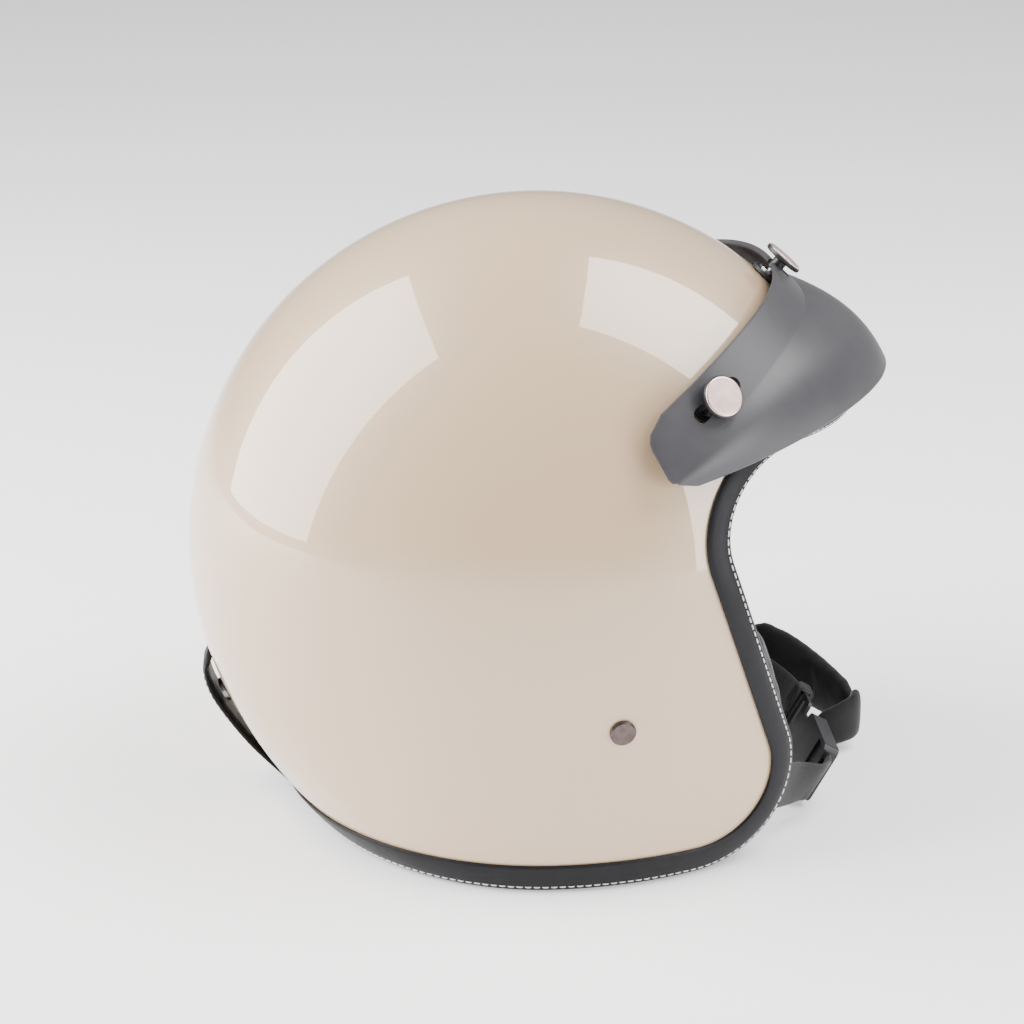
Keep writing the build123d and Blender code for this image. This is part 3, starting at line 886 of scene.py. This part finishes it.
def woven_strap(name, side):
    points, facings = webbing_route(side)
    length = sum((b - a).length for a, b in zip(points, points[1:]))
    steps = int(length / CORD_PITCH)
    rings = []
    for step in range(steps + 1):
        share = step / steps
        middle = through(points, share)
        ahead = heading(points, share, 0.004)
        facing = through(facings, share)
        across = facing.cross(ahead).normalized()
        out = ahead.cross(across).normalized()
        ring = []
        for face in (1, -1):
            for cord in range(WEBBING_CORDS + 1):
                u = face * (cord / WEBBING_CORDS * 2 - 1)
                lift = CORD_LIFT * cos(pi * cord) * cos(pi * step) if 0 < cord < WEBBING_CORDS else 0
                thin = (1 - abs(u) ** 8) ** 0.5
                height = WEBBING_THICKNESS / 2 * max(thin, 0.25) + lift
                ring.append(middle + across * (u * WEBBING_WIDTH / 2) + out * face * height)
        rings.append(ring)
    return tube(name, rings, smooth_below=50)


for strap, side, webbing_node in (
    ("strap_right_woven", -1, "webbing_right"),
    ("strap_left_woven", 1, "webbing_left"),
):
    place(woven_strap(strap, side), "helmet", finishes["strap_webbing"], "strap_webbing", webbing_node)

# ---- rear tab: one strip of leather from its root under the trim to its rounded tip ----
TAB_LINE = [Vector(p) for p in ((-102.8, 0, 1.2), (-109.8, 0, 8.2), (-124.2, 0, 24), (-137.4, 0, 43.5),
                                (-141.6, 0, 56.5), (-139.6, 0, 63.5))]
TAB_WIDTH = 22.0
TAB_THICKNESS = 2.8
TAB_STEPS = 72
TAB_ACROSS = 16
TAB_SEAM_INSET = 2.6  # from the edge to the stitched seam
TAB_SEAM_DEPTH = 0.35
TAB_SEAM_SOFTNESS = 0.7
TAB_STITCH = (2.4, 0.8, 0.3)  # length, gap and radius
TAB_FACES = Vector((-0.85, 0, -0.5)).normalized()  # the way the tab's outside looks


def tab_frame(share):
    """Middle, heading and the direction through the leather towards the shell."""
    middle = through(TAB_LINE, share)
    ahead = heading(TAB_LINE, share, 0.01)
    return middle, ahead, Vector((0, 1, 0)).cross(ahead).normalized()


def rear_tab():
    length = sum((b - a).length for a, b in zip(TAB_LINE, TAB_LINE[1:]))
    rings = []
    for step in range(TAB_STEPS + 1):
        share = step / TAB_STEPS * 0.999
        middle, _, inward = tab_frame(share)
        left = (1 - share) * length
        half = TAB_WIDTH / 2
        if left < half:
            half = sqrt(max(half**2 - (half - left) ** 2, 1.0))
        ring = []
        for face in (1, -1):
            for k in range(TAB_ACROSS + 1):
                u = face * (k / TAB_ACROSS * 2 - 1)
                crown = (1 - abs(u) ** 6) ** 0.5
                swell = TAB_THICKNESS / 2 * max(crown, 0.3)
                from_seam = abs(u) * half - (half - TAB_SEAM_INSET)
                seam = TAB_SEAM_DEPTH * exp(-((from_seam / TAB_SEAM_SOFTNESS) ** 2))
                ring.append(middle + Vector((0, u * half, 0)) + inward * face * (swell - seam))
        rings.append(ring)
    obj = tube("rear_tab_leather", rings, smooth_below=60)
    obj.data.materials.append(finishes["tab_leather"])
    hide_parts("retainer_tab", "tab_root")
    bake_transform(obj)
    return obj


def tab_stitching():
    """Two rows of black thread along the tab's outside, on the part that opens."""
    for side in SIDES:
        line = []
        for step in range(41):
            middle, _, inward = tab_frame(0.30 + 0.55 * step / 40)
            sideways = Vector((0, side * (TAB_WIDTH / 2 - TAB_SEAM_INSET), 0))
            line.append(middle + sideways - inward * (TAB_THICKNESS / 2 - 0.25))
        name = "tab_stitches_right" if side < 0 else "tab_stitches_left"
        row = stitches(name, line, lambda point: TAB_FACES, *TAB_STITCH, closed=False)
        place(row, "rear_tab", black_thread, "tab_leather")


rear_tab()
tab_stitching()


# ---- padding ----
CLOTH_PRESSURE = 4.0
CLOTH_FRAMES = 15


def pad_from(name, node, slot, voxel_mm, swell_mm):
    """A padded piece made from the CAD solid that it replaces."""
    obj = bpy.data.objects.new(name, frame["nodes"][node].data.copy())
    bpy.context.scene.collection.objects.link(obj)
    inflate(obj, [node], slot, voxel_mm, swell_mm, shrink_mm=0.6)


def inflate(obj, nodes, slot, voxel_mm, swell_mm, shrink_mm):
    """Remeshes a closed form, blows it up as cloth within a cap, and smooths it."""
    remesh = obj.modifiers.new("remesh", "REMESH")
    remesh.mode = "VOXEL"
    remesh.voxel_size = voxel_mm * MM
    tuck = obj.modifiers.new("tuck", "DISPLACE")
    tuck.strength = -shrink_mm * MM
    tuck.mid_level = 0
    relax = obj.modifiers.new("relax", "SMOOTH")
    relax.factor = 0.5
    relax.iterations = 4
    settle(obj)
    start = [vert.co.copy() for vert in obj.data.vertices]
    cloth = obj.modifiers.new("cloth", "CLOTH")
    cloth.settings.use_pressure = True
    cloth.settings.uniform_pressure_force = CLOTH_PRESSURE
    cloth.settings.effector_weights.gravity = 0
    cloth.settings.quality = 5
    for number in range(1, CLOTH_FRAMES + 1):
        bpy.context.scene.frame_set(number)
    settle(obj)
    bpy.context.scene.frame_set(1)
    for vert, rest in zip(obj.data.vertices, start):
        moved = vert.co - rest
        if moved.length > swell_mm * MM:
            vert.co = rest + moved.normalized() * swell_mm * MM
    calm = obj.modifiers.new("calm", "SMOOTH")
    calm.factor = 0.5
    calm.iterations = 3
    finer = obj.modifiers.new("finer", "SUBSURF")
    finer.levels = 1
    settle(obj)
    soften(obj, 80)
    place(obj, "helmet", finishes[slot], slot, *nodes)


def rounded_square(angle):
    """A point of a unit square with well rounded corners, as its two coordinates."""
    u, v = cos(angle), sin(angle)
    return abs(u) ** FLAP_ROUNDNESS * (1 if u > 0 else -1), abs(v) ** FLAP_ROUNDNESS * (1 if v > 0 else -1)


def flap(name, route, half_heights, thickness):
    """A thick soft band standing on edge along a route, rounded at both ends."""
    route = [Vector(point) for point in route]
    steps, sides = 40, 28
    rings = []
    for step in range(steps + 1):
        share = step / steps
        middle = through(route, share)
        ahead = heading(route, share, 0.02)
        up = (Vector((0, 0, 1)) - ahead * ahead.z).normalized()
        out = ahead.cross(up)
        height = through(half_heights, share)
        end = min(share, 1 - share) / FLAP_END
        round_off = sqrt(max(0.04, 1 - (1 - end) ** 2)) if end < 1 else 1.0
        ring = []
        for k in range(sides):
            wide, tall = rounded_square(2 * pi * k / sides)
            upward = up * height * round_off * tall
            ring.append(middle + upward + out * thickness / 2 * round_off**0.5 * wide)
        rings.append(ring)
    return tube(name, rings, smooth_below=80)


# A pad's name, the node it stands for, its slot, voxel size and greatest swell in mm, and its fill.
PADS = (
    ("crown_liner_quilt", "crown_comfort_liner", "lining", 5.0, 3.0, 0.5),
    ("brow_roll", "brow_pad", "lining_leather", 4.0, 1.5, 0.7),
    ("cheek_cushion_right", "cheek_pad_right", "lining_leather", 4.0, 4.0, 0.7),
    ("cheek_cushion_left", "cheek_pad_left", "lining_leather", 4.0, 4.0, 0.7),
    ("nape_cushion", "nape_roll", "lining_leather", 4.0, 2.0, 0.7),
)
for name, node, slot, voxel_mm, swell_mm, fill in PADS:
    pad_from(name, node, slot, voxel_mm, swell_mm)

# The suede chin flap runs in from the left cheek, and its end is folded back.
FLAP_END = 0.14  # share of the flap's length that is rounded off
FLAP_ROUNDNESS = 0.6  # 1 gives an ellipse, 0 a square
FLAP_ROUTE = ((103, 79, 27), (117, 67, 24), (131, 53, 19), (140, 38, 16.5), (145, 24, 16.5))
FLAP_HEIGHTS = (13.5, 15.5, 14.5, 12.5, 10.5)
FOLD_ROUTE = ((146, 27, 17.5), (145, 17, 16.5), (137, 12.5, 13.5), (127, 13, 11))
FOLD_HEIGHTS = (9.5, 11.0, 10.0, 8.0)
for name, route, half_heights, thickness, replaced in (
    ("chin_flap", FLAP_ROUTE, FLAP_HEIGHTS, 6.5, ["chin_pad"]),
    ("chin_flap_fold", FOLD_ROUTE, FOLD_HEIGHTS, 6.0, []),
):
    soft_band = flap(name, route, half_heights, thickness)
    inflate(soft_band, replaced, "suede", 1.8, 1.5, shrink_mm=0.2)
